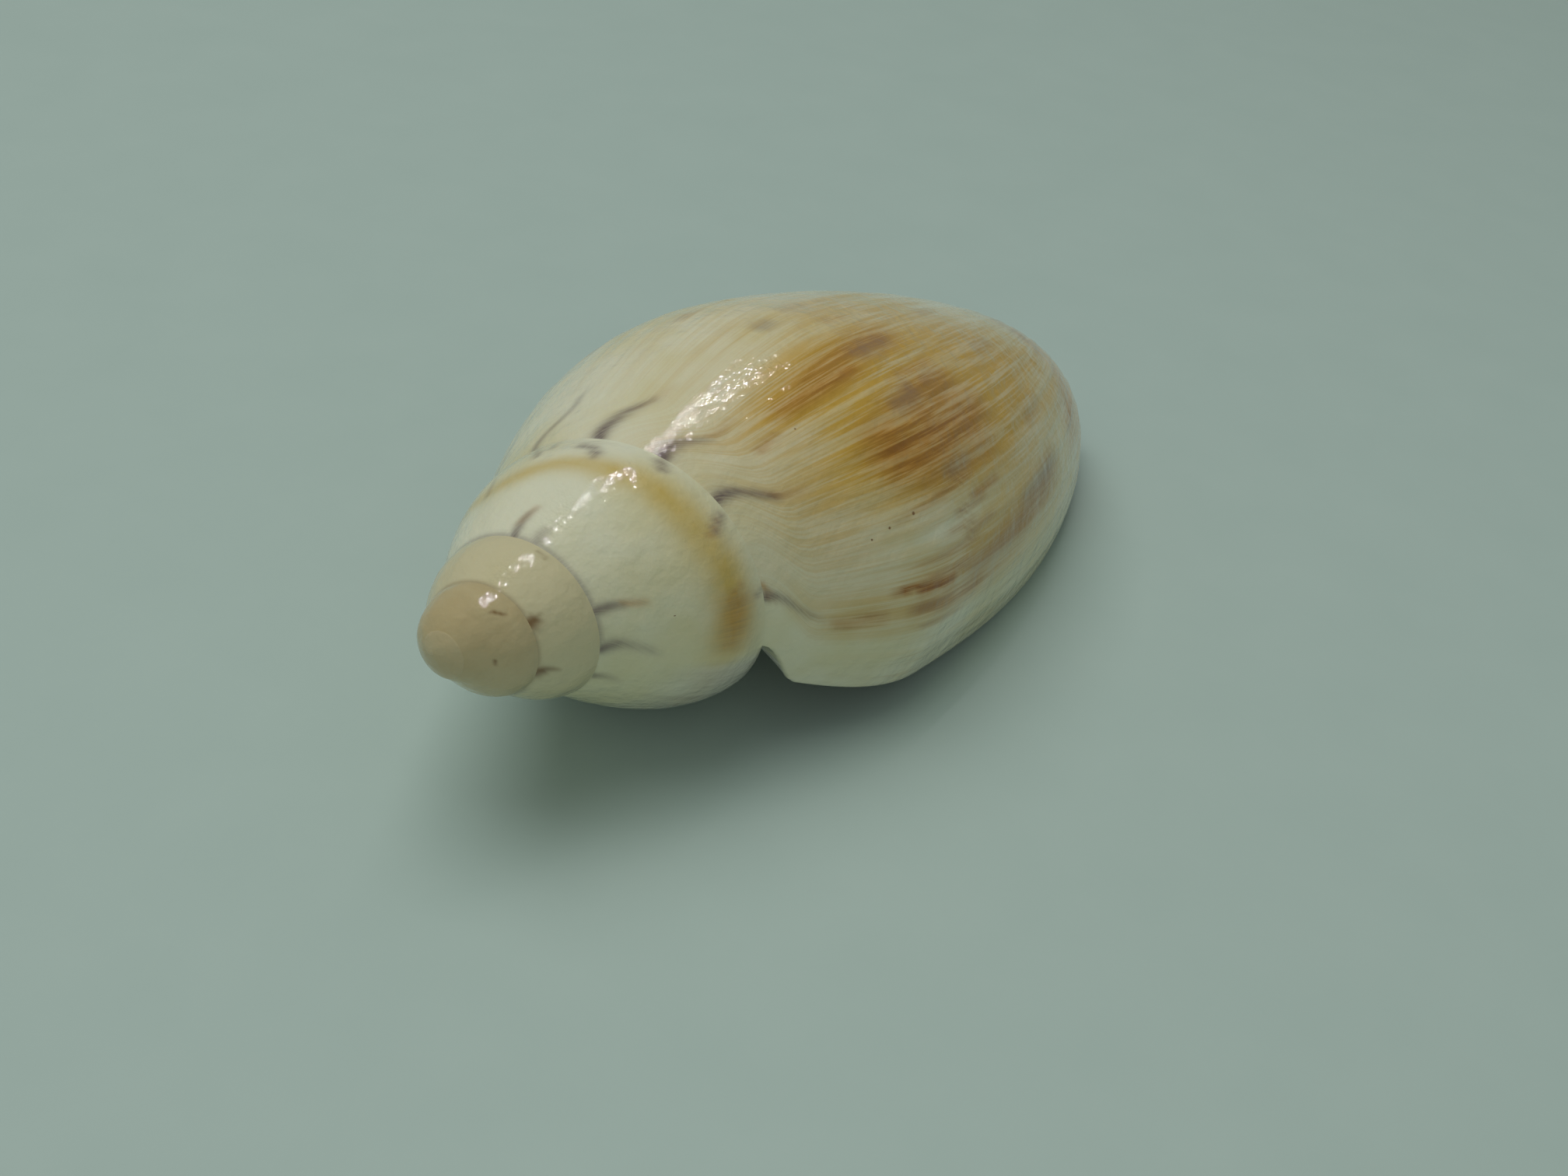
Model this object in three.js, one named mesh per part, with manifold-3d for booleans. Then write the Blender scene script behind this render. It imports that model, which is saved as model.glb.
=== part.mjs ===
// A volute shell, 100 mm long, lying on its mouth. It grew as one piece, so it is one mesh.
// Millimetres, +Z up, with the long axis along X and the apex towards -X.
import * as THREE from "three";
import { mergeVertices } from "three/addons/utils/BufferGeometryUtils.js";
import Module from "manifold-3d";

const wasm = await Module();
wasm.setup();

// The shell's own frame has +Z along the coiling axis towards the apex, which is at the origin.
// A place on the shell is a count of whorls back from the lip, and a drop below the suture.
const SHELL_LENGTH = 100;
const SUTURE_RADII = [14.5, 10.6, 7.7, 6.25, 5.8, 3.5, 2.5, 1, 0]; // every half whorl back from the lip
const SUTURE_DEPTHS = [26.6, 17, 11.75, 8, 6.1, 3.1, 1.1, 0.3, 0]; // below the apex, same places
const WHORLS = (SUTURE_RADII.length - 1) / 2;
const LIP_BEARING = -12.7; // degrees round the axis

// The last whorl, at every quarter whorl back from the lip. The spire takes over at the fifth place,
// where the crest lies on the next suture.
const CREST_DROPS = [20.3, 22, 18.6, 17.2]; // from the suture to the widest place
const CREST_SWELLS = [8.25, 7.6, 6.95, 6.05]; // how much wider than the suture it is there
const FRONT_FALLS = [2.7, 1.9, 1.2, 1.25, 0.65]; // how late the front part narrows
const FRONT_RADII = [11.2, 5.4, 2.9, 2.4, 2]; // at the front end
const FRONT_FULLNESS = [0.45, -0.35, 0.8, 0.1, 0]; // extra radius half way along it

const LIP_REACH = 0.046; // whorls by which the lip stands forward of its place at the suture
const LIP_SINUS = 0.06; // share of the length over which the lip bends back to the suture
const LIP_RETREAT = 0.96; // share of the reach lost again at the front

const NOTCH_DEPTH = 3.2; // siphonal notch in the front margin
const NOTCH_PLACE = 0.17;
const NOTCH_WIDTH = 0.14;
const TIP_HOLLOW = 0.8; // how far the middle of the front end is sunk

const WALL = 1.8;
const LIP_EDGE = 1;
const THINNING = 0.12; // whorls over which the wall thins towards the lip
const GLAZE = 0.35; // enamel over the previous whorl, inside the mouth
const HOLLOW_DROP = 3.2; // from the suture to the top of the hollow
const HOLLOW_WHORLS = 1.9; // how far back the hollow runs
const CANAL_WHORLS = 0.36; // how far back it stays open in front
const OVERRUN = 0.06; // whorls by which the cut passes the lip

const COLUMELLA_RADII = [4.6, 1.6]; // at its first fold, and at the front end
const PLAIT_HEIGHT = 1; // folds on the columella
const PLAIT_WIDTH = 1.3;
const PLAIT_DEPTHS = [62, 67.5, 73.5, 80]; // at the lip's bearing
const PLAIT_RISE = 24; // per whorl into the shell
const PLAIT_START = 0.08; // whorls over which they fade out at the mouth

const PITCH = 8.7; // the apex end is up by this much
const ROLL = 1.8;

const STEPS = 48; // rows per whorl
const UPPER_POINTS = 7; // from the suture to the crest
const LOWER_POINTS = 16; // from there to the front
const HOLLOW_STEPS = 46;
const HOLLOW_POINTS = 12;
const FLOOR_POINTS = [4, 22, 8]; // in front of the folds, over them and behind them

// Smooth curve through evenly spaced values, straight on below the first.
function curveAt(values, place) {
  const last = values.length - 1;
  if (place < 0) return values[0] + (values[1] - values[0]) * place;
  if (place >= last) return values[last];
  const i = Math.floor(place);
  const slope = (k) => {
    if (k === 0) return values[1] - values[0];
    if (k === last) return values[last] - values[last - 1];
    return (values[k + 1] - values[k - 1]) / 2;
  };
  const t = place - i;
  const rise = values[i + 1] - values[i];
  return values[i] + t * rise + t * (1 - t) * ((slope(i) - rise) * (1 - t) + (rise - slope(i + 1)) * t);
}

const sutureRadius = (whorl) => curveAt(SUTURE_RADII, whorl * 2);
const sutureDepth = (whorl) => curveAt(SUTURE_DEPTHS, whorl * 2);

// Where the widest place of a section is. On the spire it lies on the next suture.
function crestDrop(whorl) {
  if (whorl >= 1) return sutureDepth(whorl - 1) - sutureDepth(whorl);
  return curveAt([...CREST_DROPS, sutureDepth(0) - sutureDepth(1)], whorl * 4);
}

function crestSwell(whorl) {
  if (whorl >= 1) return sutureRadius(whorl - 1) - sutureRadius(whorl);
  return curveAt([...CREST_SWELLS, sutureRadius(0) - sutureRadius(1)], whorl * 4);
}

// Drop from the suture to the front end of a section.
function frontDrop(whorl) {
  const late = Math.min(whorl, 1);
  return (SHELL_LENGTH - sutureDepth(late)) * Math.exp(-0.5 * (whorl - late));
}

// Radius of the outside of the shell, drop mm below the suture.
function outerRadius(whorl, drop) {
  const crest = crestDrop(whorl);
  const widest = sutureRadius(whorl) + crestSwell(whorl);
  if (drop <= crest) {
    const share = Math.sin((Math.PI / 2) * (drop / Math.max(crest, 1e-6)));
    return sutureRadius(whorl) + crestSwell(whorl) * share;
  }
  const q = Math.min((drop - crest) / (frontDrop(whorl) - crest), 1);
  const place = Math.min(whorl, 1) * 4;
  const front = curveAt(FRONT_RADII, place);
  const fullness = curveAt(FRONT_FULLNESS, place) * 4 * q * (1 - q);
  return widest + (front - widest) * q ** curveAt(FRONT_FALLS, place) + fullness;
}

// Whorls by which the lip's edge stands forward, t of the way from the suture to the front.
function lipReach(t) {
  return LIP_REACH * THREE.MathUtils.smoothstep(t, 0, LIP_SINUS) * (1 - LIP_RETREAT * t ** 3);
}

// The notch pulls the front margin back towards the apex.
function notch(whorl, t) {
  return NOTCH_DEPTH * Math.exp(-(((whorl - NOTCH_PLACE) / NOTCH_WIDTH) ** 2)) * t ** 12;
}

function toPoint(whorl, radius, depth) {
  const bearing = THREE.MathUtils.degToRad(LIP_BEARING) + 2 * Math.PI * whorl;
  return [radius * Math.cos(bearing), radius * Math.sin(bearing), -depth];
}

function outerPoint(whorl, drop) {
  const t = Math.min(drop / frontDrop(whorl), 1);
  const pulled = whorl < 1 ? notch(whorl, t) : 0;
  return toPoint(whorl, outerRadius(whorl, drop), sutureDepth(whorl) + drop - pulled);
}

const shares = (count) => Array.from({ length: count + 1 }, (_, i) => i / count);

// A closed surface, gathered row by row.
class Skin {
  positions = [];
  faces = [];

  row(points) {
    const start = this.positions.length / 3;
    this.positions.push(...points.flat());
    return points.map((_, i) => start + i);
  }

  gap(a, b) {
    const [ax, ay, az] = this.positions.slice(a * 3, a * 3 + 3);
    const [bx, by, bz] = this.positions.slice(b * 3, b * 3 + 3);
    return Math.hypot(ax - bx, ay - by, az - bz);
  }

  // Fills the space between two rows, which may have different counts of points.
  join(a, b) {
    let i = 0;
    let j = 0;
    while (i < a.length - 1 || j < b.length - 1) {
      const bDone = j === b.length - 1;
      const aDone = i === a.length - 1;
      if (bDone || (!aDone && this.gap(a[i + 1], b[j]) <= this.gap(a[i], b[j + 1]))) {
        this.faces.push(a[i], b[j], a[i + 1]);
        i += 1;
      } else {
        this.faces.push(a[i], b[j], b[j + 1]);
        j += 1;
      }
    }
  }

  joinAll(rows) {
    rows.slice(1).forEach((row, i) => this.join(rows[i], row));
  }

  solid() {
    const geometry = new THREE.BufferGeometry();
    geometry.setAttribute("position", new THREE.Float32BufferAttribute(this.positions, 3));
    geometry.setIndex(this.faces);
    const merged = mergeVertices(geometry, 1e-3);
    const index = Array.from(merged.index.array);
    const kept = [];
    for (let k = 0; k < index.length; k += 3) {
      const [a, b, c] = index.slice(k, k + 3);
      if (a !== b && b !== c && c !== a) kept.push(a, b, c);
    }
    return new wasm.Manifold(
      new wasm.Mesh({
        numProp: 3,
        vertProperties: merged.attributes.position.array,
        triVerts: new Uint32Array(kept),
      }),
    );
  }
}

// Places down the upper part of a section, closest together at the suture.
const upperShares = shares(UPPER_POINTS).map((t) => t ** 1.4);

// One row of the last whorl, from where it grows over the previous one (0) to the lip's edge (1).
function bodyRow(share) {
  const lipCrest = crestDrop(0) / frontDrop(0);
  const upper = upperShares.map((t) => {
    const whorl = THREE.MathUtils.lerp(1, -lipReach(t * lipCrest), share);
    return outerPoint(whorl, t * crestDrop(whorl));
  });
  const lower = shares(LOWER_POINTS).slice(1).map((t) => {
    const edge = -lipReach(THREE.MathUtils.lerp(lipCrest, 1, t));
    const whorl = THREE.MathUtils.lerp(1 - lipReach(t), edge, share);
    return outerPoint(whorl, THREE.MathUtils.lerp(crestDrop(whorl), frontDrop(whorl), t));
  });
  return [...upper, ...lower];
}

// The shell's outside, with the mouth filled in level with the lip.
function filledShell() {
  const skin = new Skin();
  const spireRows = shares(STEPS * WHORLS).map((share) => {
    const whorl = THREE.MathUtils.lerp(WHORLS + 1, 1, share);
    return skin.row(upperShares.map((t) => outerPoint(whorl, t * crestDrop(whorl))));
  });
  skin.joinAll(spireRows);

  const bodyRows = shares(STEPS).map((share) => skin.row(bodyRow(share)));
  skin.joinAll(bodyRows);
  skin.join(bodyRows[STEPS], bodyRows[0].slice(UPPER_POINTS));

  const [centre] = skin.row([[0, 0, TIP_HOLLOW - SHELL_LENGTH]]);
  const rim = bodyRows.map((row) => row.at(-1));
  rim.forEach((point, s) => skin.faces.push(centre, point, rim[(s + 1) % rim.length]));
  return skin.solid();
}

function columellaRadius(depth) {
  const [thick, thin] = COLUMELLA_RADII;
  const share = THREE.MathUtils.smoothstep(depth, PLAIT_DEPTHS[0], SHELL_LENGTH);
  return THREE.MathUtils.lerp(thick, thin, share);
}

// Inner side of the hollow: the previous whorl under its glaze, then the columella with its folds.
function floorRadius(whorl, depth) {
  const before = whorl + 1;
  const drop = depth - sutureDepth(before);
  const previous = drop < frontDrop(before) ? outerRadius(before, drop) : 0;
  let folds = 0;
  for (const start of PLAIT_DEPTHS) {
    folds += Math.exp(-(((depth - start + PLAIT_RISE * whorl) / PLAIT_WIDTH) ** 2));
  }
  folds *= PLAIT_HEIGHT * THREE.MathUtils.smoothstep(whorl, -PLAIT_START, 0);
  return Math.max(previous, columellaRadius(depth)) + GLAZE + folds;
}

// Depths down the floor of the hollow, from the front back, closest together over the folds.
function floorDepths(whorl, top, bottom) {
  const rise = PLAIT_RISE * whorl;
  const first = THREE.MathUtils.clamp(PLAIT_DEPTHS[0] - 2 * PLAIT_WIDTH - rise, top, bottom);
  const last = THREE.MathUtils.clamp(PLAIT_DEPTHS.at(-1) + 2 * PLAIT_WIDTH - rise, top, bottom);
  const stops = [bottom, last, first, top];
  const depths = FLOOR_POINTS.map((count, k) => {
    return shares(count).slice(0, -1).map((t) => THREE.MathUtils.lerp(stops[k], stops[k + 1], t));
  });
  return [...depths.flat(), top];
}

// The wall is thinner at the lip and round the front.
function wallAt(whorl, depth) {
  const fromLip = THREE.MathUtils.smoothstep(whorl, -LIP_REACH, THINNING);
  const fromFront = 1 - THREE.MathUtils.smoothstep(depth, SHELL_LENGTH - 20, SHELL_LENGTH);
  return THREE.MathUtils.lerp(LIP_EDGE, WALL, fromLip * fromFront);
}

// The hollow of the last whorl, run out past the lip and the front margin to open the mouth and canal.
function hollow() {
  const skin = new Skin();
  const rows = shares(HOLLOW_STEPS).map((share) => {
    const whorl = THREE.MathUtils.lerp(HOLLOW_WHORLS, -LIP_REACH - OVERRUN, share ** 0.75);
    const top = sutureDepth(whorl) + HOLLOW_DROP;
    const open = THREE.MathUtils.smoothstep(CANAL_WHORLS - whorl, 0, 0.12);
    const bottom = THREE.MathUtils.lerp(top + 0.55 * (SHELL_LENGTH - top), SHELL_LENGTH + 1, open);
    const ceiling = shares(HOLLOW_POINTS).map((t) => {
      const depth = THREE.MathUtils.lerp(top, bottom, t);
      const outer = outerRadius(whorl, depth - sutureDepth(whorl)) - wallAt(whorl, depth);
      return toPoint(whorl, Math.max(outer, floorRadius(whorl, depth) + 0.3), depth);
    });
    const floor = floorDepths(whorl, top, bottom).map((depth) => {
      return toPoint(whorl, floorRadius(whorl, depth), depth);
    });
    return [...ceiling, ...floor];
  });
  const rings = rows.map((points) => {
    const ring = skin.row(points);
    return [...ring, ring[0]];
  });
  skin.joinAll(rings);
  for (const [ring, flip] of [[rings[0], true], [rings[HOLLOW_STEPS], false]]) {
    const ceiling = ring.slice(0, HOLLOW_POINTS + 1);
    const floor = ring.slice(HOLLOW_POINTS + 1, -1).reverse();
    if (flip) skin.join(floor, ceiling);
    else skin.join(ceiling, floor);
  }
  return skin.solid();
}

function toGeometry(solid) {
  const made = solid.getMesh();
  const geometry = new THREE.BufferGeometry();
  geometry.setAttribute("position", new THREE.BufferAttribute(made.vertProperties, 3));
  geometry.setIndex(new THREE.BufferAttribute(made.triVerts, 1));
  return geometry;
}

// Lays the shell on z = 0, with the axis along X and the middle of its box over the origin.
function layDown(geometry) {
  geometry.rotateZ(THREE.MathUtils.degToRad(ROLL) - Math.PI / 2);
  geometry.rotateY(-Math.PI / 2 + THREE.MathUtils.degToRad(PITCH));
  geometry.computeBoundingBox();
  const { min, max } = geometry.boundingBox;
  return geometry.translate(-(min.x + max.x) / 2, -(min.y + max.y) / 2, -min.z);
}

const shellSurface = new THREE.MeshStandardMaterial({ color: 0xe6dcc0, roughness: 0.3, metalness: 0 });

const shell = new THREE.Mesh(layDown(toGeometry(filledShell().subtract(hollow()))), shellSurface);
shell.name = "shell";

const volute = new THREE.Group();
volute.add(shell);
export default volute;
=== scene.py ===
"""A cream and tan volute shell, lying on its mouth on a plain pale floor."""
import math

import bmesh
import bpy
import numpy as np
from mathutils import Matrix, Vector


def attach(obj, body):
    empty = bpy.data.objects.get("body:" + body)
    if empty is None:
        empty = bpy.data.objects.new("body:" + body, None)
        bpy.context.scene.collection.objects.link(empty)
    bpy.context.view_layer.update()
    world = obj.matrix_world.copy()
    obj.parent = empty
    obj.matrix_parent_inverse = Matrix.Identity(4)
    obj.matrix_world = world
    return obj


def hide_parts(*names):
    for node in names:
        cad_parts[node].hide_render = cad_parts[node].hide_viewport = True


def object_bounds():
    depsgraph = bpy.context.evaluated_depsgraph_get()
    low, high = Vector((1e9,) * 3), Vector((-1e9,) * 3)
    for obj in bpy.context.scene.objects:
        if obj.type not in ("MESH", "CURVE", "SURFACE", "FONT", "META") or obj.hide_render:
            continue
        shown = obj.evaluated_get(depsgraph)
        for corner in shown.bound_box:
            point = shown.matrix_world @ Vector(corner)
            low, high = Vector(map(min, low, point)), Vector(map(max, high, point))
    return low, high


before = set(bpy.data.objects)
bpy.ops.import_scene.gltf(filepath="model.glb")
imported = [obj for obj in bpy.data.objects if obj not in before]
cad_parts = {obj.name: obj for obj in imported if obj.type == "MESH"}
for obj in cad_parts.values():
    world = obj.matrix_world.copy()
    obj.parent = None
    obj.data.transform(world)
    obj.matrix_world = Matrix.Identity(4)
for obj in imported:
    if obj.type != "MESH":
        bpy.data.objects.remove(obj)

cad_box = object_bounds()

MM = 0.001
MERGE = 2e-6

# The shell's form, in millimetres, as in the part's source. Its own frame has +Z along the coiling axis
# towards the apex. A place is a count of whorls back from the lip, and a drop below the suture.
SHELL_LENGTH = 100
SUTURE_RADII = [14.5, 10.6, 7.7, 6.25, 5.8, 3.5, 2.5, 1, 0]
SUTURE_DEPTHS = [26.6, 17, 11.75, 8, 6.1, 3.1, 1.1, 0.3, 0]
WHORLS = 4
LIP_BEARING = -12.7
CREST_DROPS = [20.3, 22, 18.6, 17.2]
CREST_SWELLS = [8.25, 7.6, 6.95, 6.05]
FRONT_FALLS = [2.7, 1.9, 1.2, 1.25, 0.65]
FRONT_RADII = [11.2, 5.4, 2.9, 2.4, 2]
FRONT_FULLNESS = [0.45, -0.35, 0.8, 0.1, 0]
LIP_REACH = 0.046
LIP_SINUS = 0.06
LIP_RETREAT = 0.96
NOTCH_DEPTH = 3.2
NOTCH_PLACE = 0.17
NOTCH_WIDTH = 0.14
TIP_HOLLOW = 0.8
WALL = 1.8
LIP_EDGE = 1
THINNING = 0.12
GLAZE = 0.35
HOLLOW_DROP = 3.2
HOLLOW_WHORLS = 1.9
CANAL_WHORLS = 0.36
OVERRUN = 0.06
COLUMELLA_RADII = [4.6, 1.6]
PLAIT_HEIGHT = 1
PLAIT_WIDTH = 1.3
PLAIT_DEPTHS = [62, 67.5, 73.5, 80]
PLAIT_RISE = 24
PLAIT_START = 0.08
PITCH = 8.7
ROLL = 1.8

# What the fine surface adds to that form: rounded edges, growth ripples (height, count in a whorl, phase)
# and a softer tip. Edges sharper than SHARP_EDGE degrees stay crisp.
EDGE_ROUND = 0.46
RIPPLES = [(0.030, 37, 0.4), (0.026, 61, 2.1), (0.020, 103, 4.4), (0.012, 171, 1.2)]
TIP_SHARE = 0.75
TIP_DEPTH = 4
TIP_FADE = (2.4, 3.8)
TIP_CURVE = 0.145
SHARP_EDGE = 38

# Counts of rows and points, and the shares that hold the extra ones near the lip and the front margin.
ROWS = 300
LIP_ROWS, LIP_BAND = 9, 0.006
UPPER_POINTS = 24
UPPER_CROWDING = 1.4
LOWER_POINTS = 76
FRONT_POINTS, FRONT_BAND = 7, 0.012
FRONT_RINGS = (0.12, 0.35, 0.7)
FAR_FROM_LIP = 9.0
HOLLOW_ROWS = 115
EDGE_START, EDGE_END, PAST_EDGE = 0.03, 0.006, -0.002
CEILING_POINTS = 36
FLOOR_POINTS = [10, 76, 18]

# The hollow: where its closed inner part ends towards the front, the least room under the wall, and how far
# the rounded edges widen it. NOT_HERE is an error larger than any real distance.
INNER_SHARE = 0.55
LEAST_ROOM = 0.3
ROUND_OUT = 0.9
NOT_HERE = 1e6


def smoothstep(x, low, high):
    """A smooth rise from 0 at low to 1 at high."""
    t = np.clip((np.asarray(x, float) - low) / (high - low), 0, 1)
    return t * t * (3 - 2 * t)


def lerp(a, b, t):
    return a + (b - a) * t


def curve_at(values, place):
    """Smooth curve through evenly spaced values, straight on below the first."""
    values = np.asarray(values, float)
    last = len(values) - 1
    place = np.asarray(place, float)
    inside = np.minimum(place, last)
    i = np.clip(np.floor(inside).astype(int), 0, last - 1)

    def slope(k):
        span = np.where((k == 0) | (k == last), 1, 2)
        return (values[np.minimum(k + 1, last)] - values[np.maximum(k - 1, 0)]) / span

    t = inside - i
    rise = values[i + 1] - values[i]
    bend = (slope(i) - rise) * (1 - t) + (rise - slope(i + 1)) * t
    straight = values[0] + (values[1] - values[0]) * place
    return np.where(place < 0, straight, values[i] + t * rise + t * (1 - t) * bend)


def suture_radius(whorl):
    return curve_at(SUTURE_RADII, np.asarray(whorl) * 2)


def suture_depth(whorl):
    return curve_at(SUTURE_DEPTHS, np.asarray(whorl) * 2)


CLOSING_DROP = float(suture_depth(0) - suture_depth(1))
CLOSING_SWELL = float(suture_radius(0) - suture_radius(1))


def crest_drop(whorl):
    """The drop at which a whorl is widest: on the spire, where the next suture covers it."""
    whorl = np.asarray(whorl, float)
    spire = suture_depth(np.maximum(whorl, 1) - 1) - suture_depth(whorl)
    return np.where(whorl >= 1, spire, curve_at(CREST_DROPS + [CLOSING_DROP], whorl * 4))


def crest_swell(whorl):
    """How far a whorl swells out beyond its suture."""
    whorl = np.asarray(whorl, float)
    spire = suture_radius(np.maximum(whorl, 1) - 1) - suture_radius(whorl)
    return np.where(whorl >= 1, spire, curve_at(CREST_SWELLS + [CLOSING_SWELL], whorl * 4))


def front_drop(whorl):
    """The drop of the front margin."""
    late = np.minimum(whorl, 1)
    return (SHELL_LENGTH - suture_depth(late)) * np.exp(-0.5 * (whorl - late))


def outer_radius(whorl, drop):
    """The outside's distance from the coiling axis."""
    whorl = np.asarray(whorl, float)
    drop = np.asarray(drop, float)
    crest = crest_drop(whorl)
    start = suture_radius(whorl)
    swell = crest_swell(whorl)
    upper = start + swell * np.sin(np.pi / 2 * np.clip(drop / np.maximum(crest, 1e-6), 0, 1))
    q = np.clip((drop - crest) / (front_drop(whorl) - crest), 0, 1)
    place = np.minimum(whorl, 1) * 4
    widest = start + swell
    fullness = curve_at(FRONT_FULLNESS, place) * 4 * q * (1 - q)
    lower = widest + (curve_at(FRONT_RADII, place) - widest) * q ** curve_at(FRONT_FALLS, place) + fullness
    return np.where(drop <= crest, upper, lower)


def lip_reach(t):
    """How far the lip's edge reaches past whorl 0, at a share t of the way to the front."""
    return LIP_REACH * smoothstep(t, 0, LIP_SINUS) * (1 - LIP_RETREAT * np.asarray(t) ** 3)


def to_point(whorl, radius, depth):
    """A point in the shell's own frame."""
    bearing = np.radians(LIP_BEARING) + 2 * np.pi * whorl
    return np.stack([radius * np.cos(bearing), radius * np.sin(bearing), -depth + 0 * bearing], -1)


def growth(whorl, drop):
    """Whorls back from the lip's edge, counted along the growth lines."""
    return whorl + lip_reach(np.clip(drop / front_drop(whorl), 0, 1))


def rounding(distance):
    """How far an edge that is rounded over EDGE_ROUND has drawn in, at this distance from it."""
    x = np.clip(1 - distance / EDGE_ROUND, 0, 1)
    return EDGE_ROUND * (1 - np.sqrt(1 - x**2))


def ripple(whorl, drop):
    """Low growth ridges along the growth lines of the last whorl, gone towards the suture."""
    place = growth(whorl, drop)
    window = smoothstep(drop, 3, 15) * (1 - smoothstep(whorl, 0.6, 0.95))
    waves = sum(height * np.sin(2 * np.pi * count * place + phase) for height, count, phase in RIPPLES)
    return waves * window


def outer_point(whorl, drop, from_lip):
    """A point on the outside; from_lip is its distance from the lip's edge in whorls."""
    length = front_drop(whorl)
    t = np.clip(drop / length, 0, 1)
    radius = outer_radius(whorl, drop)
    edge = rounding(from_lip * 2 * np.pi * radius) * smoothstep(t, 0, 0.03)
    front = rounding(length - drop) * (whorl < 1.0001)
    pulled = NOTCH_DEPTH * np.exp(-(((whorl - NOTCH_PLACE) / NOTCH_WIDTH) ** 2)) * t**12 * (whorl < 1)
    radius = radius - np.maximum(edge, front) + ripple(whorl, drop)
    return to_point(whorl, radius, suture_depth(whorl) + drop - pulled)


def dense_at_ends(count, near_end, width):
    """Shares from 0 to 1, with extra ones at geometric steps within width of the end."""
    even = np.linspace(0, 1, count + 1)
    close = 1 - width * (np.linspace(0, 1, near_end + 1)[:-1] ** 2)
    return np.unique(np.round(np.concatenate([even, close]), 7))


class Skin:
    """A closed surface, gathered row by row."""

    def __init__(self):
        self.points = []
        self.faces = []
        self.count = 0

    def row(self, points, shared=()):
        """Adds a row that starts with the shared points of its neighbours."""
        start = self.count
        self.points.append(points[len(shared) :])
        self.count += len(points) - len(shared)
        return np.concatenate([np.asarray(shared, int), np.arange(start, self.count)])

    def join_even(self, a, b):
        """Joins two rows with the same count of points."""
        self.faces.extend(np.stack([a[:-1], b[:-1], b[1:]], 1).tolist())
        self.faces.extend(np.stack([a[:-1], b[1:], a[1:]], 1).tolist())

    def join(self, a, b):
        """Joins two rows whose counts differ."""
        points = np.concatenate(self.points)
        i = j = 0
        while i < len(a) - 1 or j < len(b) - 1:
            a_done = i == len(a) - 1
            b_done = j == len(b) - 1
            along_a = b_done
            if not a_done and not b_done:
                step_a = np.linalg.norm(points[a[i + 1]] - points[b[j]])
                along_a = step_a <= np.linalg.norm(points[a[i]] - points[b[j + 1]])
            if along_a:
                self.faces.append([a[i], b[j], a[i + 1]])
                i += 1
            else:
                self.faces.append([a[i], b[j], b[j + 1]])
                j += 1

    def to_object(self, name):
        mesh = bpy.data.meshes.new(name)
        kept = [[int(i) for i in face] for face in self.faces if len(set(face)) == 3]
        mesh.from_pydata((np.concatenate(self.points) * MM).tolist(), [], kept)
        made = bpy.data.objects.new(name, mesh)
        bpy.context.scene.collection.objects.link(made)
        return made


def filled_shell():
    """The outside, with the mouth filled in level with the lip."""
    skin = Skin()
    steps = dense_at_ends(ROWS, LIP_ROWS, LIP_BAND)
    upper = np.linspace(0, 1, UPPER_POINTS + 1) ** UPPER_CROWDING
    lower = dense_at_ends(LOWER_POINTS, FRONT_POINTS, FRONT_BAND)[1:]
    apex = skin.row(np.zeros((1, 3)))[0]
    previous = np.full(len(upper), apex)
    crests = np.full(len(steps), apex)
    for turn in range(WHORLS, 0, -1):
        starts = crests
        crests = np.array([previous[-1]] + [0] * (len(steps) - 1))
        for k, share in enumerate(steps[1:], 1):
            whorl = np.full_like(upper, turn + 1 - share)
            points = outer_point(whorl, upper * crest_drop(whorl), np.full_like(upper, FAR_FROM_LIP))
            row = skin.row(points, [apex if turn == WHORLS else starts[k]])
            skin.join_even(previous, row)
            previous = row
            crests[k] = row[-1]
    lip_crest = float(crest_drop(0) / front_drop(0))
    rows = []
    for k, share in enumerate(steps):
        upper_edge = -lip_reach(upper * lip_crest)
        upper_whorl = lerp(1, upper_edge, share)
        upper_drop = upper * crest_drop(upper_whorl)
        lower_edge = -lip_reach(lerp(lip_crest, 1, lower))
        lower_whorl = lerp(1 - lip_reach(lower), lower_edge, share)
        lower_drop = lerp(crest_drop(lower_whorl), front_drop(lower_whorl), lower)
        whorl = np.concatenate([upper_whorl, lower_whorl])
        drop = np.concatenate([upper_drop, lower_drop])
        from_lip = whorl - np.concatenate([upper_edge, lower_edge])
        rows.append(skin.row(outer_point(whorl, drop, from_lip), previous if k == 0 else [crests[k]]))
    for a, b in zip(rows, rows[1:]):
        skin.join_even(a, b)
    skin.join(rows[-1], rows[0][UPPER_POINTS:])
    rim = np.array([row[-1] for row in rows])
    outline = np.concatenate(skin.points)[rim]
    centre = np.array([0, 0, TIP_HOLLOW - SHELL_LENGTH])
    ring = np.append(rim, rim[0])
    for share in FRONT_RINGS:
        inner = skin.row(lerp(outline, centre, share))
        inner = np.append(inner, inner[0])
        skin.join_even(inner, ring)
        ring = inner
    middle = skin.row(centre[None, :])[0]
    skin.faces.extend([middle, int(a), int(b)] for a, b in zip(ring, ring[1:]))
    return skin.to_object("filled_shell")


def columella_radius(depth):
    """The bare columella, which thins towards the front."""
    thick, thin = COLUMELLA_RADII
    return lerp(thick, thin, smoothstep(depth, PLAIT_DEPTHS[0], SHELL_LENGTH))


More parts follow.
